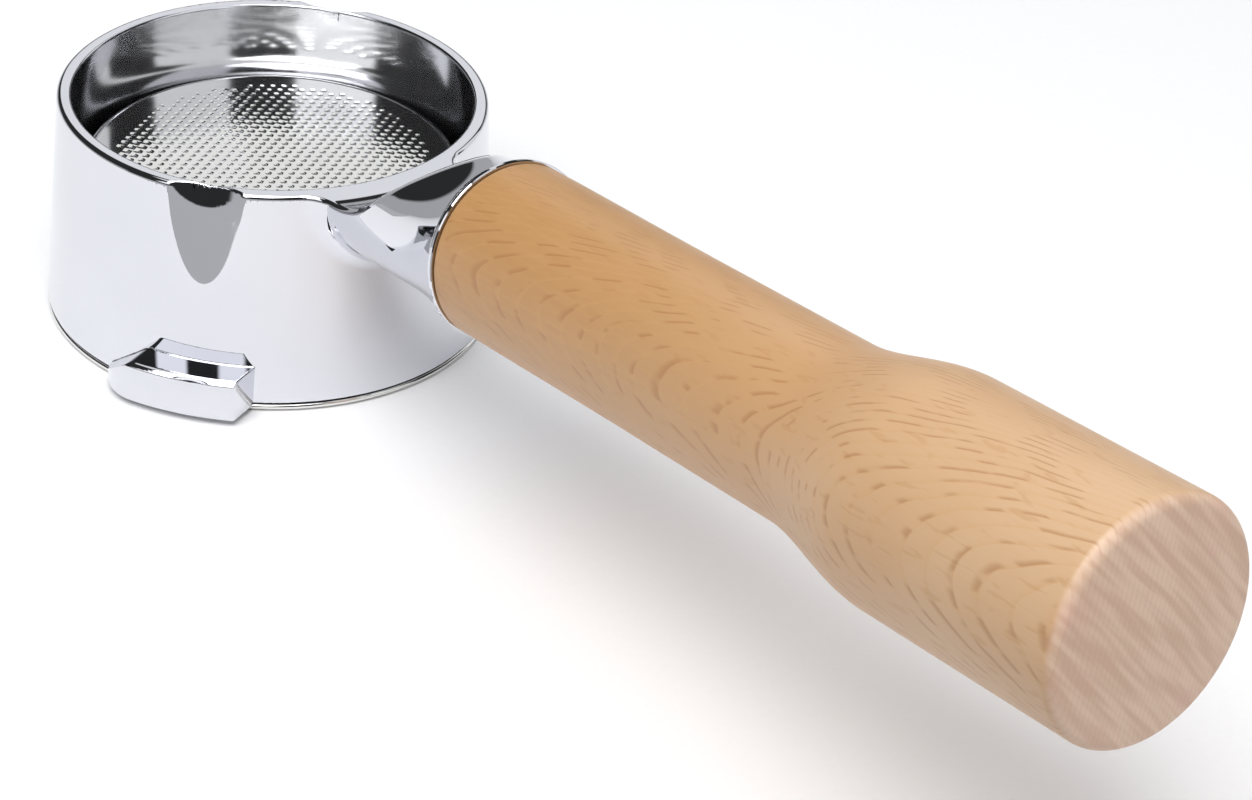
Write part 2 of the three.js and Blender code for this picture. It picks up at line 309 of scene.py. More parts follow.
def split_edges(points, normals, tris, field):
    """One round of splitting the edges across which the surface turns, with new points put on the surface."""
    pairs = np.sort(np.concatenate([tris[:, [0, 1]], tris[:, [1, 2]], tris[:, [2, 0]]]), 1)
    edges, which = np.unique(pairs, axis=0, return_inverse=True)
    which = which.reshape(3, -1).T
    a, b = points[edges[:, 0]], points[edges[:, 1]]
    length = np.linalg.norm(a - b, axis=1)
    turn = np.arccos(np.clip((normals[edges[:, 0]] * normals[edges[:, 1]]).sum(1), -1, 1))
    marked = (turn > SPLIT_TURN) & (length > 2 * SPLIT_LEAST)
    fresh = onto_surface(field, (a[marked] + b[marked]) / 2, 3)
    number = -np.ones(len(edges), int)
    number[marked] = len(points) + np.arange(marked.sum())
    mids = number[which]
    out = []
    for pattern in range(8):
        want = np.array([bool(pattern & 1), bool(pattern & 2), bool(pattern & 4)])
        rows = np.all((mids >= 0) == want, axis=1)
        t, m = tris[rows], mids[rows]
        shift = {1: 0, 2: 1, 4: 2, 3: 0, 6: 1, 5: 2}.get(pattern, 0)
        t, m = np.roll(t, -shift, 1), np.roll(m, -shift, 1)
        if pattern == 0:
            out.append(t)
        elif pattern in (1, 2, 4):
            out += [np.stack([t[:, 0], m[:, 0], t[:, 2]], 1), np.stack([m[:, 0], t[:, 1], t[:, 2]], 1)]
        elif pattern == 7:
            out += [np.stack([t[:, 0], m[:, 0], m[:, 2]], 1), np.stack([m[:, 0], t[:, 1], m[:, 1]], 1)]
            out += [np.stack([m[:, 2], m[:, 1], t[:, 2]], 1), m]
        else:
            out += [np.stack([m[:, 0], t[:, 1], m[:, 1]], 1), np.stack([t[:, 0], m[:, 0], m[:, 1]], 1)]
            out.append(np.stack([t[:, 0], m[:, 1], t[:, 2]], 1))
    return np.concatenate([points, fresh]), np.concatenate(out)


def unit(vectors):
    return vectors / np.maximum(np.linalg.norm(vectors, axis=1, keepdims=True), 1e-9)


# ---- making mesh objects ------------------------------------------------------------------------


def in_frame(points):
    """From millimetres about the ring's axis to metres in the frame."""
    return (np.asarray(points, float) + [RING_X, 0, 0]) * MM


def add_object(name, mesh, material, body, node):
    mesh.materials.append(material)
    piece = bpy.data.objects.new(name, mesh)
    bpy.context.scene.collection.objects.link(piece)
    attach(piece, body)
    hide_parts(node)
    return piece


def plain_mesh(name, points, faces, normals=None, sharp_angle=None):
    mesh = bpy.data.meshes.new(name)
    mesh.from_pydata(np.asarray(points).tolist(), [], [list(map(int, f)) for f in faces])
    mesh.update()
    mesh.polygons.foreach_set("use_smooth", np.ones(len(mesh.polygons), bool))
    if normals is not None:
        mesh.normals_split_custom_set_from_vertices(normals.tolist())
    if sharp_angle is not None:
        mesh.set_sharp_from_angle(angle=sharp_angle)
    return mesh


def lathe(profile, sides=192):
    """Points and quads of a (radius, height) profile turned about the z axis. A radius of 0 is a pole."""
    angles = np.arange(sides) * TURN / sides
    points, rows = [], []
    for r, z in profile:
        if r < 1e-6:
            rows.append(np.full(sides, len(points)))
            points.append((0.0, 0.0, z))
        else:
            rows.append(len(points) + np.arange(sides))
            points.extend(zip(r * np.cos(angles), r * np.sin(angles), np.full(sides, z)))
    faces = []
    closed = profile[0][0] > 1e-6
    pairs = list(zip(rows, rows[1:] + rows[:1])) if closed else list(zip(rows, rows[1:]))
    for low, high in pairs:
        for i in range(sides):
            j = (i + 1) % sides
            ring = [low[i], low[j], high[j], high[i]]
            face = [v for k, v in enumerate(ring) if v != ring[k - 1]]
            if len(face) > 2:
                faces.append(face)
    return np.array(points), faces


def arc(cx, cy, radius, start, stop, steps):
    angles = np.linspace(start, stop, steps + 1) * DEG
    return [(cx + radius * math.cos(a), cy + radius * math.sin(a)) for a in angles]


def handle_matrix(along=0.0):
    """Puts local x along the handle's axis, from a distance along it, in the frame's metres."""
    start = np.array([along * math.cos(HANDLE_RISE), 0, AXIS_Z + along * math.sin(HANDLE_RISE)])
    place = Matrix.Translation(Vector(in_frame(start)))
    return place @ Euler((0, -HANDLE_RISE, 0)).to_matrix().to_4x4()


def along_handle(points):
    """From points turned about z to metres with x as the turning axis, for handle_matrix."""
    p = np.asarray(points)
    return np.stack([p[:, 2], p[:, 1], -p[:, 0]], 1) * MM


# ---- node helpers -------------------------------------------------------------------------------


class Nodes:
    """Short calls for building a node tree."""

    def __init__(self, tree):
        self.tree = tree
        self.tree.nodes.clear()

    def new(self, kind, settings=None, **inputs):
        made = self.tree.nodes.new(kind)
        for key, value in (settings or {}).items():
            setattr(made, key, value)
        for key, value in inputs.items():
            self.put(made.inputs[key.replace("_", " ")], value)
        return made

    def put(self, socket, value):
        if isinstance(value, bpy.types.NodeSocket):
            self.tree.links.new(value, socket)
        else:
            socket.default_value = value

    def math(self, operation, *values):
        made = self.tree.nodes.new("ShaderNodeMath")
        made.operation = operation
        for socket, value in zip(made.inputs, values):
            self.put(socket, value)
        return made.outputs[0]

    def blend(self, factor, a, b):
        made = self.new("ShaderNodeMix", {"data_type": "RGBA"})
        self.put(made.inputs[0], factor)
        self.put(made.inputs[6], a)
        self.put(made.inputs[7], b)
        return made.outputs[2]

    def span(self, value, low, high, to_low=0.0, to_high=1.0):
        made = self.new("ShaderNodeMapRange", {"interpolation_type": "SMOOTHSTEP"})
        for socket, v in zip(made.inputs, (value, low, high, to_low, to_high)):
            self.put(socket, v)
        return made.outputs[0]

    def noise(self, vector, scale, detail=3.0, roughness=0.5, distortion=0.0):
        made = self.new("ShaderNodeTexNoise", Vector=vector, Scale=scale, Detail=detail,
                        Roughness=roughness, Distortion=distortion)
        return made.outputs[0]

    def bump(self, height, strength, distance):
        made = self.new("ShaderNodeBump", Height=height, Strength=strength, Distance=distance)
        return made.outputs[0]


def from_srgb(r, g, b):
    """Linear colour from 0 to 255 display values."""
    def channel(c):
        c = c / 255
        return c / 12.92 if c <= 0.04045 else ((c + 0.055) / 1.055) ** 2.4
    return (channel(r), channel(g), channel(b), 1.0)


def new_material(name):
    material = bpy.data.materials.new(name)
    material.use_nodes = True
    nodes = Nodes(material.node_tree)
    shader = nodes.new("ShaderNodeBsdfPrincipled")
    output = nodes.new("ShaderNodeOutputMaterial")
    material.node_tree.links.new(shader.outputs[0], output.inputs[0])
    place = nodes.new("ShaderNodeTexCoord").outputs["Object"]
    return material, nodes, shader, place


# ---- materials ------------------------------------------------------------------------------------
BORE_EXTRA_ROUGHNESS = 0.09      # the bore is turned, so it mirrors less sharply than the outside


def polished_chrome():
    material, nodes, shader, place = new_material("polished_chrome")
    shader.inputs["Metallic"].default_value = 1.0
    film = nodes.noise(place, 60.0, 2.0)
    tone = nodes.blend(film, from_srgb(216, 217, 223), from_srgb(225, 226, 230))
    nodes.put(shader.inputs["Base Color"], tone)
    wiped = nodes.noise(place, 240.0, 4.0, 0.6, 0.4)
    where = nodes.new("ShaderNodeSeparateXYZ", Vector=place)
    off_axis = nodes.math("SUBTRACT", where.outputs[0], RING_X * MM)
    from_axis = nodes.math("SQRT", nodes.math("ADD", nodes.math("MULTIPLY", off_axis, off_axis),
                                              nodes.math("MULTIPLY", where.outputs[1], where.outputs[1])))
    bored = nodes.span(from_axis, (BORE_R + 0.1) * MM, (BORE_R + 0.4) * MM, BORE_EXTRA_ROUGHNESS, 0.0)
    nodes.put(shader.inputs["Roughness"],
              nodes.math("ADD", nodes.span(wiped, 0.3, 0.8, 0.018, 0.045), bored))
    return material


def grained_metal(name, grain, detail, tones, roughness):
    """A metal whose tone and roughness both vary with one fine grain."""
    material, nodes, shader, place = new_material(name)
    shader.inputs["Metallic"].default_value = 1.0
    pattern = nodes.noise(place, grain, *detail)
    nodes.put(shader.inputs["Base Color"], nodes.blend(pattern, *tones))
    nodes.put(shader.inputs["Roughness"], nodes.span(pattern, 0.2, 0.8, *roughness))
    return material


def pressed_steel():
    material, nodes, shader, place = new_material("pressed_steel")
    shader.inputs["Metallic"].default_value = 1.0
    drawn = nodes.noise(place, 500.0, 2.0)
    tone = nodes.blend(drawn, from_srgb(226, 225, 222), from_srgb(236, 235, 232))
    nodes.put(shader.inputs["Base Color"], tone)
    fine = nodes.noise(place, 1600.0, 3.0)
    nodes.put(shader.inputs["Roughness"], nodes.span(fine, 0.2, 0.8, 0.05, 0.1))
    return material


def wire_steel():
    tones = from_srgb(176, 177, 180), from_srgb(200, 201, 204)
    return grained_metal("wire_steel", 900.0, (3.0,), tones, (0.18, 0.32))


def stud_steel():
    tones = from_srgb(158, 162, 168), from_srgb(190, 190, 184)
    return grained_metal("stud_steel", 700.0, (4.0,), tones, (0.24, 0.42))


def turned_brass():
    tones = from_srgb(178, 142, 76), from_srgb(214, 180, 104)
    return grained_metal("turned_brass", 420.0, (4.0, 0.6), tones, (0.2, 0.4))


# ---- beech ------------------------------------------------------------------------------------------
WOOD_FRONT = 63.3
WOOD_LENGTH = 127.2
WOOD_THIN_R = 12.85
WOOD_THICK_R = 16.2
WOOD_DOME = 0.8
WOOD_END_EDGE = 1.7
INSERT_ROOM_R = 6.8              # blind hole for the insert and the stud
INSERT_ROOM_TO = 80.0

RING_WIDTH = 0.85                # width of a growth ring
RING_NORMAL = 166 * DEG          # the rings' direction round the handle, from the y axis
RING_LEAN = 0.19                 # how fast they drift along the handle
TREE_R = 90.0                    # how far off the middle of the tree is
RAY_DIRECTION = -49 * DEG        # stripes on the end grain


def turned_sideways(nodes, y, z, angle):
    """Coordinates along a direction round the handle's axis, and square to it."""
    c, s = math.cos(angle), math.sin(angle)
    first = nodes.math("ADD", nodes.math("MULTIPLY", y, c), nodes.math("MULTIPLY", z, s))
    second = nodes.math("ADD", nodes.math("MULTIPLY", y, -s), nodes.math("MULTIPLY", z, c))
    return first, second


def drawn_out_noise(nodes, place, squeeze, scale, detail, roughness=0.5):
    """Noise drawn out along the handle."""
    mapping = nodes.new("ShaderNodeMapping", Vector=place)
    mapping.inputs["Scale"].default_value = (squeeze, 1.0, 1.0)
    return nodes.noise(mapping.outputs[0], scale, detail, roughness)


def growth_phase(nodes, place, x, y, z):
    """From 0 to 1 through each year's layer. The layers bow round the tree's middle and wander a little."""
    depth, side = turned_sideways(nodes, y, z, RING_NORMAL)
    bow = nodes.math("MULTIPLY", nodes.math("MULTIPLY", side, side), 0.5 / TREE_R)
    wander = nodes.math("MULTIPLY", nodes.math("SUBTRACT", nodes.noise(place, 30.0, 2.0), 0.5), 2.6)
    ripple = nodes.math("MULTIPLY", nodes.math("SUBTRACT", nodes.noise(place, 170.0, 1.0), 0.5), 0.35)
    layer = nodes.math("ADD", nodes.math("ADD", depth, bow), nodes.math("MULTIPLY", x, RING_LEAN))
    layer = nodes.math("ADD", nodes.math("ADD", layer, wander), ripple)
    return nodes.math("FRACT", nodes.math("DIVIDE", layer, RING_WIDTH))


def long_grain(nodes, place, x, late, fibre, dashes):
    """Colour of the turned side: painted light makes it darker in front and paler to the rear, with patches,
    late wood, fibres, flecks and dashes.
    """
    flecks = nodes.span(drawn_out_noise(nodes, place, 0.22, 1000.0, 1.0), 0.62, 0.7)
    cloud = nodes.noise(place, 45.0, 2.0)
    # Painted light: the darker front and paler rear stand in for how the light and sheen fall along the
    # handle.
    front, rear = from_srgb(184, 138, 84), from_srgb(213, 177, 139)
    tone = nodes.blend(nodes.span(x, 0.0, WOOD_LENGTH), front, rear)
    layers = [
        (nodes.span(cloud, 0.3, 0.7), 0.4, from_srgb(200, 150, 100)),
        (late, 0.35, from_srgb(206, 158, 106)),
        (nodes.span(fibre, 0.35, 0.75), 0.22, from_srgb(205, 160, 112)),
        (flecks, 0.3, from_srgb(188, 138, 88)),
        (dashes, 0.46, from_srgb(160, 106, 58)),
    ]
    for mask, strength, colour in layers:
        tone = nodes.blend(nodes.math("MULTIPLY", mask, strength), tone, colour)
    return tone


def end_grain(nodes, place, y, z, late):
    """Colour of the sawn end: pale rays across it, a warmer cloud and faint growth rings."""
    along, across = turned_sideways(nodes, y, z, RAY_DIRECTION)
    ray_place = nodes.new("ShaderNodeCombineXYZ", X=across, Y=nodes.math("MULTIPLY", along, 0.09))
    rays = nodes.noise(ray_place.outputs[0], 0.75, 1.0, 0.5)
    cloud = nodes.noise(place, 120.0, 2.0)
    tone = nodes.blend(nodes.span(rays, 0.35, 0.65), from_srgb(208, 172, 146), from_srgb(224, 193, 168))
    warm = nodes.math("MULTIPLY", nodes.span(cloud, 0.5, 0.75), 0.4)
    tone = nodes.blend(warm, tone, from_srgb(216, 164, 148))
    return nodes.blend(nodes.math("MULTIPLY", late, 0.25), tone, from_srgb(190, 142, 118))


def beech():
    material, nodes, shader, place = new_material("beech")
    split = nodes.new("ShaderNodeSeparateXYZ", Vector=place)
    x, y, z = (nodes.math("MULTIPLY", s, 1 / MM) for s in split.outputs)
    phase = growth_phase(nodes, place, x, y, z)
    late = nodes.math("POWER", phase, 5.0)
    line = nodes.math("MULTIPLY", nodes.span(phase, 0.6, 0.9), nodes.span(phase, 1.0, 0.92))
    broken = nodes.span(drawn_out_noise(nodes, place, 0.32, 460.0, 1.0), 0.47, 0.6)
    dashes = nodes.math("MULTIPLY", line, broken)
    fibre = drawn_out_noise(nodes, place, 0.05, 1500.0, 3.0, 0.6)

    at_end = nodes.span(x, WOOD_LENGTH - 2.4, WOOD_LENGTH - 1.1)
    side_tone = long_grain(nodes, place, x, late, fibre, dashes)
    nodes.put(shader.inputs["Base Color"],
              nodes.blend(at_end, side_tone, end_grain(nodes, place, y, z, late)))
    rough = nodes.math("ADD", nodes.math("MULTIPLY", fibre, 0.14), 0.33)
    nodes.put(shader.inputs["Roughness"], nodes.math("ADD", rough, nodes.math("MULTIPLY", at_end, 0.12)))
    shader.inputs["Specular IOR Level"].default_value = 0.75
    relief = nodes.math("SUBTRACT", nodes.math("MULTIPLY", fibre, 0.6), dashes)
    nodes.put(shader.inputs["Normal"], nodes.bump(relief, 0.35, 0.00006))
    return material


def wood_radius(share):
    """Radius at a share of the handle's length: slim in front, thick in the last three tenths."""
    def smooth(v):
        v = np.clip(v, 0, 1)
        return v * v * (3 - 2 * v)
    front = WOOD_THIN_R + 0.2 * (1 - smooth(share / 0.3))
    return front + (WOOD_THICK_R - WOOD_THIN_R) * smooth((share - 0.54) / 0.16)


def handle_profile():
    """From the blind hole round the front edge, along the side and over the rear edge to the domed end."""
    room = INSERT_ROOM_TO - WOOD_FRONT
    profile = [(0, room), (INSERT_ROOM_R - 1.5, room), (INSERT_ROOM_R, room - 1.2), (INSERT_ROOM_R, 0.5)]
    profile += [(INSERT_ROOM_R + 0.5, 0.0), (9.5, 0.0), (wood_radius(0) - 0.5, 0.0)]
    profile += arc(wood_radius(0) - 0.35, 0.35, 0.35, -90, 0, 4)
    stop = WOOD_LENGTH - WOOD_DOME - WOOD_END_EDGE
    for share in np.linspace(0.012, stop / WOOD_LENGTH, 120):
        profile.append((float(wood_radius(share)), share * WOOD_LENGTH))
    edge_r = WOOD_THICK_R - WOOD_END_EDGE
    profile += arc(edge_r, stop, WOOD_END_EDGE, 6, 84, 8)
    for share in np.linspace(0.95, 0.0, 14):
        profile.append((edge_r * share, WOOD_LENGTH - WOOD_DOME * share ** 2))
    return profile


def wooden_handle():
    points, faces = lathe(handle_profile(), 160)
    mesh = plain_mesh("wooden_handle", along_handle(points), faces, sharp_angle=40 * DEG)
    piece = bpy.data.objects.new("turned_beech_handle", mesh)
    mesh.materials.append(beech())
    bpy.context.scene.collection.objects.link(piece)
    piece.matrix_world = handle_matrix(WOOD_FRONT)
    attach(piece, "head")
    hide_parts("wooden_handle")


# ---- head -----------------------------------------------------------------------------------------


def cast_head(chrome):
    low = [-FLANGE_R - 1.5, -LUG_R - 0.5, LUG_BOTTOM - 0.7]
    high = [NECK_END + 1.0, LUG_R + 0.5, HEAD_HIGH[2] + 1.5]
    points, quads = surface_net(head_distance, low, high, GRID)
    points = onto_surface(head_distance, points)
    tris = np.concatenate([quads[:, [0, 1, 2]], quads[:, [0, 2, 3]]])
    rounds = 3
    for _ in range(rounds):
        normals = unit(gradient(head_distance, points))
        points, tris = split_edges(points, normals, tris, head_distance)
    normals = unit(gradient(head_distance, points, 0.03))
    mesh = plain_mesh("cast_head", in_frame(points), tris, normals)
    add_object("cast_head", mesh, chrome, "head", "portafilter_head")


# ---- basket -----------------------------------------------------------------------------------------
SHEET = 0.7
CUP_R = 30.1
FOOT_R = 29.7
BEND_R = 3.0
FLANGE_T = 1.1
HOLES_R = 24.0                   # edge of the perforated patch
PLATE_R = 25.2                   # where the patch is joined to the turned cup
HOLE_R = 0.16
DIMPLE_R = 0.62
DIMPLE_DEPTH = 0.1
DIMPLE_STEPS = ((1.0, 0.0), (0.72, 0.35), (0.5, 0.9))      # shares of its radius and depth
CELL = (1.54, 1.60)              # hole spacing along and across the rows; every second row is offset by half
ROW_DIRECTION = 124.7 * DEG      # direction of the rows round the ring's axis


def cell_outline():
    """Twelve points round one cell's edge, from -1 to 1, starting at the middle of its right side."""
    upper = [(1, 0), (1, 1), (0.5, 1), (0, 1), (-0.5, 1), (-1, 1)]
    return upper + [(-x, -y) for x, y in upper]


def cell_centre(i, j):
    return (i + 0.5 * (j % 2)) * CELL[0], j * CELL[1]


def perforated_plate():
    """The pierced part of the floor: a grid of cells, each with a dimpled hole through the sheet."""
    outline = np.array(cell_outline()) * np.array(CELL) / 2
    angles = np.arctan2(outline[:, 1], outline[:, 0])
    circle = np.stack([np.cos(angles), np.sin(angles)], 1)
    rings = [(circle * (DIMPLE_R * out), DIMPLE_DEPTH * deep) for out, deep in DIMPLE_STEPS]
    rings.append((circle * HOLE_R, DIMPLE_DEPTH))
    count = len(outline)
    turn = np.array([[math.cos(ROW_DIRECTION), math.sin(ROW_DIRECTION)],
                     [-math.sin(ROW_DIRECTION), math.cos(ROW_DIRECTION)]])
    reach = int(HOLES_R / min(CELL)) + 2
    centres = [cell_centre(i, j) for i in range(-reach, reach + 1) for j in range(-reach, reach + 1)]
    centres = [c for c in centres if math.hypot(*c) < HOLES_R]
    points, faces = [], []
    key_of = {}
    for cx, cy in centres:
        top = []
        under = []
        for ox, oy in outline:
            key = (round(cx + ox, 3), round(cy + oy, 3))
            if key not in key_of:
                key_of[key] = len(points)
                points.append((*key, FLOOR_Z))
                points.append((*key, FLOOR_Z - SHEET))
            top.append(key_of[key])
            under.append(key_of[key] + 1)
        loops = [top]
        for ring, drop in rings:
            loops.append(len(points) + np.arange(count))
            points += [(cx + a, cy + b, FLOOR_Z - drop) for a, b in ring]
        loops.append(len(points) + np.arange(count))
        points += [(cx + a, cy + b, FLOOR_Z - SHEET) for a, b in circle * HOLE_R]
        loops.append(under)
        for outer, inner in zip(loops, loops[1:]):
            for k in range(count):
                n = (k + 1) % count
                faces.append((outer[k], outer[n], inner[n], inner[k]))
    points = np.array(points)
    points[:, :2] = points[:, :2] @ turn
    return points, faces


def plate_margin(points, faces, sides):
    """Flat triangles from the grid's stepped outline out to a circle, and where their corners come from."""
    used = {(a, b) for f in faces for a, b in zip(f, f[1:] + f[:1])}
    border = sorted((a, b) for a, b in used if (b, a) not in used)
    top_border = [(a, b) for a, b in border if points[a][2] > FLOOR_Z - 1e-6]
    angles = np.arange(sides) * TURN / sides
    rim = np.stack([PLATE_R * np.cos(angles), PLATE_R * np.sin(angles)], 1)
    inner = sorted({a for e in top_border for a in e})
    number = {v: k for k, v in enumerate(inner)}
    flat = [Vector(points[v][:2]) for v in inner] + [Vector(p) for p in rim]
    edges = [(number[a], number[b]) for a, b in top_border]
    edges += [(len(inner) + k, len(inner) + (k + 1) % sides) for k in range(sides)]
    corners, _, tris, sources = delaunay_2d_cdt(flat, edges, [], 0, 1e-6)[:4]
    return corners, tris, [s[0] for s in sources], inner, rim


def filter_basket(steel):
    sides = 240
    points, faces = perforated_plate()
    faces = [tuple(int(v) for v in f) for f in faces]
    flat, tris, origin, inner, rim = plate_margin(points, faces, sides)
    base = len(points)
    points = np.concatenate([
        points,
        np.column_stack([rim, np.full(sides, FLOOR_Z)]),
        np.column_stack([rim, np.full(sides, FLOOR_Z - SHEET)]),
    ])
    top_of = [inner[k] if k < len(inner) else base + k - len(inner) for k in origin]
    in_cell = inside_cells(flat, tris)
    for tri, covered in zip(tris, in_cell):
        if covered:
            continue
        a, b, c = (top_of[v] for v in tri)
        faces.append((a, b, c))
        d, e, f = (v + 1 if v < base else v + sides for v in (a, b, c))
        faces.append((f, e, d))
    turned_points, turned_faces = cup(sides, base, len(points))
    points = np.concatenate([points, turned_points])
    faces += turned_faces
    mesh = plain_mesh("pierced_basket", in_frame(points), faces, sharp_angle=50 * DEG)
    add_object("pierced_basket", mesh, steel, "basket", "filter_basket")


def inside_cells(flat, tris):
    """Which triangles lie over the grid of cells, and so are already covered."""
    c, s = math.cos(ROW_DIRECTION), math.sin(ROW_DIRECTION)
    found = []
    for tri in tris:
        x = sum(flat[v][0] for v in tri) / 3
        y = sum(flat[v][1] for v in tri) / 3
        u, v = x * c + y * s, -x * s + y * c
        j = round(v / CELL[1])
        i = round(u / CELL[0] - 0.5 * (j % 2))
        found.append(math.hypot(*cell_centre(i, j)) < HOLES_R)
    return found


def cup(sides, base, start):
    """The turned wall, groove and flange, joined to the plate's rims at vertices base and base + sides."""
    bend_r, bend_z = FOOT_R - BEND_R, FLOOR_Z - BEND_R
    wall = CUP_R - SHEET
    outer = arc(bend_r, bend_z, BEND_R, 90, 0, 12)
    outer += groove_profile(FOOT_R, CUP_R)
    outer += [(CUP_R + 0.08, FLANGE_T + 0.75)] + arc(CUP_R + 0.7, FLANGE_T + 0.7, 0.7, 200, 270, 5)
    outer += arc(FLANGE_R - 0.45, FLANGE_T / 2 + 0.1, 0.45, 90, -90, 8)
    outer += [(FLANGE_R - 1.2, 0.0), (wall + 1.2, 0.0)]
    outer += arc(wall + 1.0, 1.0, 1.0, 270, 180, 6)
    outer += groove_profile(FOOT_R - SHEET, wall)[::-1]
    outer += arc(bend_r, bend_z, BEND_R - SHEET, 0, 90, 10)
    angles = np.arange(sides) * TURN / sides
    points, rows = [], [base + np.arange(sides)]
    for r, z in outer:
        rows.append(start + len(points) + np.arange(sides))
        points.extend(zip(r * np.cos(angles), r * np.sin(angles), np.full(sides, z)))
    rows.append(base + sides + np.arange(sides))
    faces = []
    for near, far in zip(rows, rows[1:]):
        for i in range(sides):
            j = (i + 1) % sides
            faces.append((int(near[j]), int(near[i]), int(far[i]), int(far[j])))
    return np.array(points), faces


def groove_profile(foot, mouth):
    """The cup's wall from its bend down to its mouth, with the shallow groove that the spring clicks into."""
    top = FLOOR_Z - BEND_R
    rows = []
    for share in np.linspace(0.06, 1, 30):
        z = top + (FLANGE_T + 1.2 - top) * share
        bulge = math.exp(-((z - GROOVE_Z) / 0.8) ** 2) * 0.6
        rows.append((foot + (mouth - foot) * share - bulge, z))
    return rows


# ---- small hardware -----------------------------------------------------------------------------------
SPRING_GAP = 36 * DEG
SPRING_R = 31.05                 # of the wire's middle, before the wave
SPRING_WAVE = 0.25

STUD_FROM, STUD_LENGTH = 50.0, 28.0
STUD_R, STUD_PITCH, STUD_CUT = 4.9, 1.5, 0.8
INSERT_FROM, INSERT_LENGTH = 65.0, 14.0
INSERT_R, INSERT_PITCH, INSERT_CUT = 6.5, 2.5, 0.5
TAPPED_R, TAPPED_CUT = 5.55, 0.35    # the insert's inner thread, which has the stud's pitch

WASHER_FROM, WASHER_THICK = 62.4, 0.7
WASHER_OUTER, WASHER_INNER, WASHER_EDGE = 13.4, 5.2, 0.15


def wire_spring(steel):
    """The open retaining ring in the head's groove, with rounded ends."""
    low, high = box_mm("basket_spring")
    centre_z = (low[2] + high[2]) / 2
    wire = (high[2] - low[2]) / 2
    sides = 14
    path = []
    for a in np.linspace(SPRING_GAP / 2, TURN - SPRING_GAP / 2, 260):
        r = SPRING_R - SPRING_WAVE * math.cos(3 * a)
        path.append((r * math.cos(a), r * math.sin(a), centre_z))
    path = np.array(path)
    along = unit(np.gradient(path, axis=0))
    outward = unit(path * [1, 1, 0])
    outward = unit(outward - (outward * along).sum(1)[:, None] * along)
    upward = np.cross(along, outward)
    points, rows = [], []
    last = len(path) - 1
    bend = (0.05, 0.5, 1.0)
    stations = [(path[0] - along[0] * wire * math.cos(a), 0, math.sin(a)) for a in bend]
    stations += [(path[k], k, 1.0) for k in range(len(path))]
    stations += [(path[last] + along[last] * wire * math.cos(a), last, math.sin(a)) for a in bend[::-1]]
    for centre, k, size in stations:
        rows.append(len(points) + np.arange(sides))
        for a in np.arange(sides) * TURN / sides:
            points.append(centre + wire * size * (math.cos(a) * outward[k] + math.sin(a) * upward[k]))
    faces = [[int(v) for v in rows[0]][::-1], [int(v) for v in rows[-1]]]
    for near, far in zip(rows, rows[1:]):
        for i in range(sides):
            j = (i + 1) % sides
            faces.append((int(near[i]), int(near[j]), int(far[j]), int(far[i])))
    mesh = plain_mesh("retaining_spring", in_frame(points), faces, sharp_angle=60 * DEG)
    add_object("retaining_spring", mesh, steel, "head", "basket_spring")


def thread_depth(height, angle, pitch):
    """0 at a thread's root and 1 at its crest."""
    phase = (height / pitch - angle / TURN) % 1.0
    return float(np.clip(1.5 - abs(phase - 0.5) * 4, 0, 1))


def threaded_sleeve(length, outer_r, outer_pitch, outer_cut, inner_r=0.0, inner_pitch=1.5, inner_cut=0.0,
                    sides=48, step=0.18):
    """A rod or sleeve along z with a helical thread outside, and inside too if it has a bore."""
    heights = np.linspace(0, length, int(length / step))
    angles = np.arange(sides) * TURN / sides
    points, rows = [], []

    def add_row(radius_at, z):
        rows.append(len(points) + np.arange(sides))
        for a in angles:
            r = radius_at(a)
            points.append((r * math.cos(a), r * math.sin(a), z))

    def fade(z):
        return float(np.clip(min(z, length - z) / 1.2, 0, 1))

    for z in heights:
        add_row(lambda a: outer_r - outer_cut + outer_cut * fade(z) * thread_depth(z, a, outer_pitch), z)
    if inner_r > 0:
        for z in heights[::-1]:
            add_row(lambda a: inner_r - inner_cut * fade(z) * thread_depth(z, a, inner_pitch), z)
        pairs = list(zip(rows, rows[1:] + rows[:1]))
        faces = []
    else:
        pairs = list(zip(rows, rows[1:]))
        faces = [[int(v) for v in rows[0]][::-1], [int(v) for v in rows[-1]]]
    for near, far in pairs:
        for i in range(sides):
            j = (i + 1) % sides
            faces.append((int(near[i]), int(near[j]), int(far[j]), int(far[i])))
    return np.array(points), faces


def handle_piece(name, points, faces, material, start, node):
    mesh = plain_mesh(name, along_handle(points), faces, sharp_angle=35 * DEG)
    mesh.materials.append(material)
    piece = bpy.data.objects.new(name, mesh)
    bpy.context.scene.collection.objects.link(piece)
    piece.matrix_world = handle_matrix(start)
    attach(piece, "head")
    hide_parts(node)


def washer_profile():
    outer, inner, edge, thick = WASHER_OUTER, WASHER_INNER, WASHER_EDGE, WASHER_THICK
    return [(inner, edge), (inner + edge, 0), (outer - edge, 0), (outer, edge), (outer, thick - edge),
            (outer - edge, thick), (inner + edge, thick), (inner, thick - edge)]


def hardware(chrome):
    wire_spring(wire_steel())
    points, faces = threaded_sleeve(STUD_LENGTH, STUD_R, STUD_PITCH, STUD_CUT)
    handle_piece("threaded_stud", points, faces, stud_steel(), STUD_FROM, "handle_stud")
    points, faces = threaded_sleeve(INSERT_LENGTH, INSERT_R, INSERT_PITCH, INSERT_CUT,
                                    TAPPED_R, STUD_PITCH, TAPPED_CUT)
    handle_piece("brass_insert", points, faces, turned_brass(), INSERT_FROM, "threaded_insert")
    points, faces = lathe(washer_profile(), 128)
    handle_piece("thin_washer", points, faces, chrome, WASHER_FROM, "ferrule_washer")


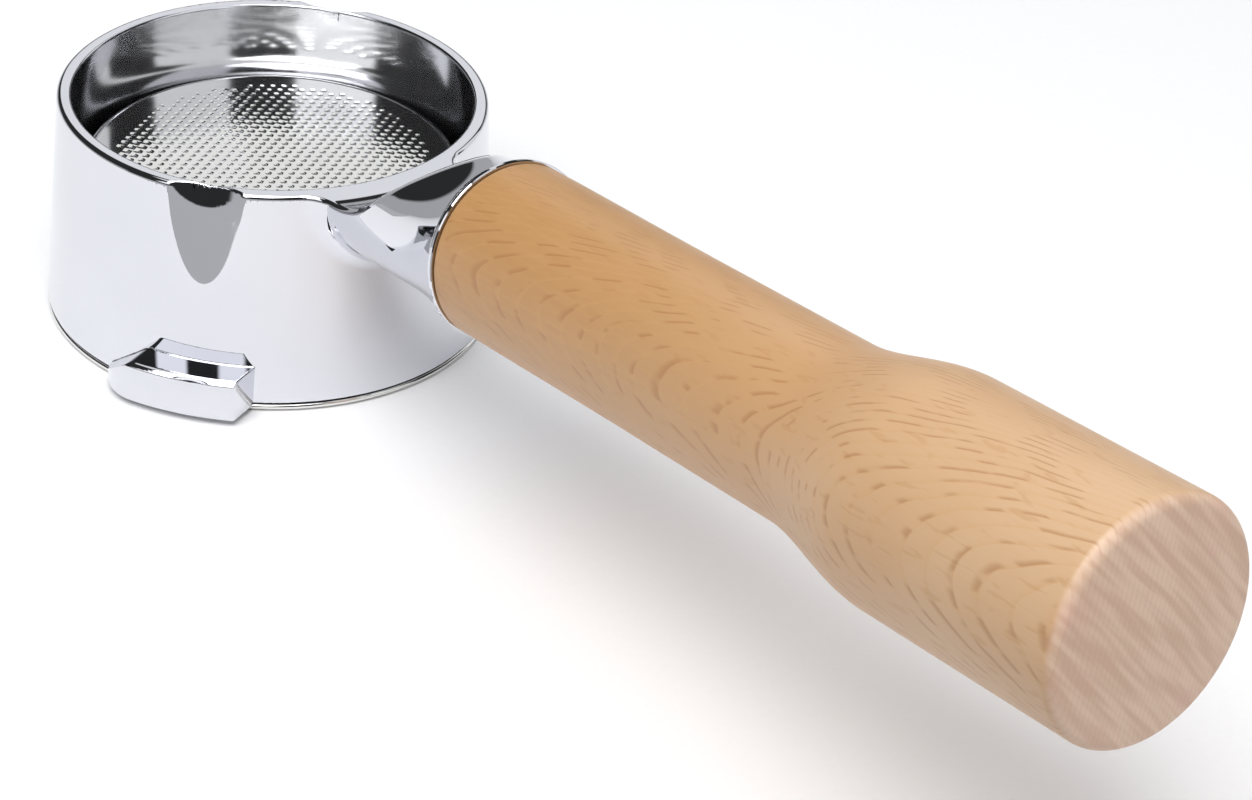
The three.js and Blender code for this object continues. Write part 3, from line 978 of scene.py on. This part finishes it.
# ---- floor, light and camera --------------------------------------------------------------------------
FOCAL_MM = 93.62                 # on a 36 mm wide sensor
CAMERA_FROM_RING = (381.22, -238.20, 267.05)     # millimetres, from the ring's axis at the floor
CAMERA_YAW, CAMERA_PITCH, CAMERA_ROLL = 50.60 * DEG, 32.27 * DEG, 4.89 * DEG

# The room that the chrome mirrors: azimuth range, elevation range in degrees, brightness.
PANELS = [
    (-4, 41, 8, 60, 0.95),
    (-94, -79, 33, 60, 1.4),
    (-58, -46, 33, 60, 1.4),
    (82, 98, 0, 60, 0.9),
    (-92, -46, 20, 33, 1.35),
    (-92, -46, 45, 62, 1.2),
    (112, 158, 22, 70, 0.95),
    (-180, 180, 62, 90, 0.9),
    (100, 250, -3, 8, 0.45),
    (-180, 180, -60, -3, 0.55),
]
ROOM_DARK = 0.03
ROOM_TINT = (0.97, 0.98, 1.0, 1.0)
ROOM_EDGE = 3 * DEG              # over which a panel fades out
BACKDROP = 1.15                  # what the camera itself sees in place of the room

LAMP_AZIMUTH, LAMP_ELEVATION, LAMP_DISTANCE = -65 * DEG, 65 * DEG, 1.1
LAMP_SIZE = (0.9, 0.8)
LAMP_POWER = 10.0

# The sheet it stands on, in millimetres from the ring's axis: its near edge is squared to this direction.
SHEET_AZIMUTH = -64 * DEG
SHEET_NEAR = 110.0
SHEET_FAR = 1400.0
SHEET_HALF = 1200.0


def floor():
    out = np.array([math.cos(SHEET_AZIMUTH), math.sin(SHEET_AZIMUTH), 0])
    side = np.array([-out[1], out[0], 0])
    corners = [out * SHEET_NEAR - side * SHEET_HALF, out * SHEET_NEAR + side * SHEET_HALF,
               -out * SHEET_FAR + side * SHEET_HALF, -out * SHEET_FAR - side * SHEET_HALF]
    mesh = bpy.data.meshes.new("floor")
    mesh.from_pydata([tuple(in_frame(c)) for c in corners], [], [(0, 1, 2, 3)])
    material, nodes, shader, place = new_material("pale_floor")
    paper = nodes.noise(place, 900.0, 2.0)
    tone = nodes.blend(paper, from_srgb(246, 246, 247), from_srgb(250, 250, 251))
    nodes.put(shader.inputs["Base Color"], tone)
    shader.inputs["Roughness"].default_value = 0.7
    shader.inputs["Specular IOR Level"].default_value = 0.2
    mesh.materials.append(material)
    ground = bpy.data.objects.new("floor", mesh)
    bpy.context.scene.collection.objects.link(ground)
    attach(ground, "basket")


def room():
    """A dim room with bright panels for the metal to mirror. The camera sees it as plain and pale."""
    world = bpy.data.worlds.new("studio")
    bpy.context.scene.world = world
    world.use_nodes = True
    nodes = Nodes(world.node_tree)
    direction = nodes.new("ShaderNodeTexCoord").outputs["Generated"]
    split = nodes.new("ShaderNodeSeparateXYZ", Vector=direction)
    azimuth = nodes.math("ARCTAN2", split.outputs[1], split.outputs[0])
    elevation = nodes.math("ARCSINE", split.outputs[2])
    light = ROOM_DARK
    for az_low, az_high, el_low, el_high, strength in PANELS:
        middle, half = (az_low + az_high) / 2 * DEG, (az_high - az_low) / 2 * DEG
        off = nodes.math("WRAP", nodes.math("SUBTRACT", azimuth, middle), math.pi, -math.pi)
        wide = nodes.span(nodes.math("ABSOLUTE", off), half + ROOM_EDGE, half)
        above = nodes.span(elevation, el_low * DEG - ROOM_EDGE, el_low * DEG)
        below = nodes.span(elevation, el_high * DEG + ROOM_EDGE, el_high * DEG)
        tall = nodes.math("MULTIPLY", above, below)
        panel = nodes.math("MULTIPLY", nodes.math("MULTIPLY", wide, tall), strength)
        light = nodes.math("MAXIMUM", light, panel)
    seen = nodes.new("ShaderNodeLightPath").outputs["Is Camera Ray"]
    shown = nodes.math("ADD", nodes.math("MULTIPLY", nodes.math("SUBTRACT", 1.0, seen), light),
                       nodes.math("MULTIPLY", seen, BACKDROP))
    background = nodes.new("ShaderNodeBackground", Strength=shown)
    background.inputs["Color"].default_value = ROOM_TINT
    output = nodes.new("ShaderNodeOutputWorld")
    world.node_tree.links.new(background.outputs[0], output.inputs[0])


def lights():
    """One large soft lamp on the near left, which throws the handle's shadow to the far side."""
    data = bpy.data.lights.new("softbox", "AREA")
    data.shape = "RECTANGLE"
    data.size, data.size_y = LAMP_SIZE
    data.energy = LAMP_POWER
    lamp = bpy.data.objects.new("softbox", data)
    flat = LAMP_DISTANCE * math.cos(LAMP_ELEVATION)
    place = Vector((flat * math.cos(LAMP_AZIMUTH), flat * math.sin(LAMP_AZIMUTH),
                    LAMP_DISTANCE * math.sin(LAMP_ELEVATION)))
    lamp.location = place
    lamp.rotation_euler = (-place).to_track_quat("-Z", "Y").to_euler()
    bpy.context.scene.collection.objects.link(lamp)


def camera():
    data = bpy.data.cameras.new("camera")
    data.sensor_width = 36.0
    data.lens = FOCAL_MM
    data.clip_start = 0.01
    data.clip_end = 20.0
    right = Vector((math.cos(CAMERA_YAW), math.sin(CAMERA_YAW), 0))
    back = Vector((math.sin(CAMERA_YAW) * math.cos(CAMERA_PITCH),
                   -math.cos(CAMERA_YAW) * math.cos(CAMERA_PITCH), math.sin(CAMERA_PITCH)))
    up = back.cross(right)
    c, s = math.cos(CAMERA_ROLL), math.sin(CAMERA_ROLL)
    across, upward = c * right + s * up, -s * right + c * up
    turn = Matrix((across, upward, back)).transposed().to_4x4()
    viewer = bpy.data.objects.new("camera", data)
    viewer.matrix_world = Matrix.Translation(Vector(in_frame(CAMERA_FROM_RING))) @ turn
    bpy.context.scene.collection.objects.link(viewer)
    bpy.context.scene.camera = viewer


def main():
    bpy.context.scene.view_settings.view_transform = "Standard"
    camera()
    room()
    lights()
    floor()
    chrome = polished_chrome()
    cast_head(chrome)
    filter_basket(pressed_steel())
    wooden_handle()
    hardware(chrome)


main()
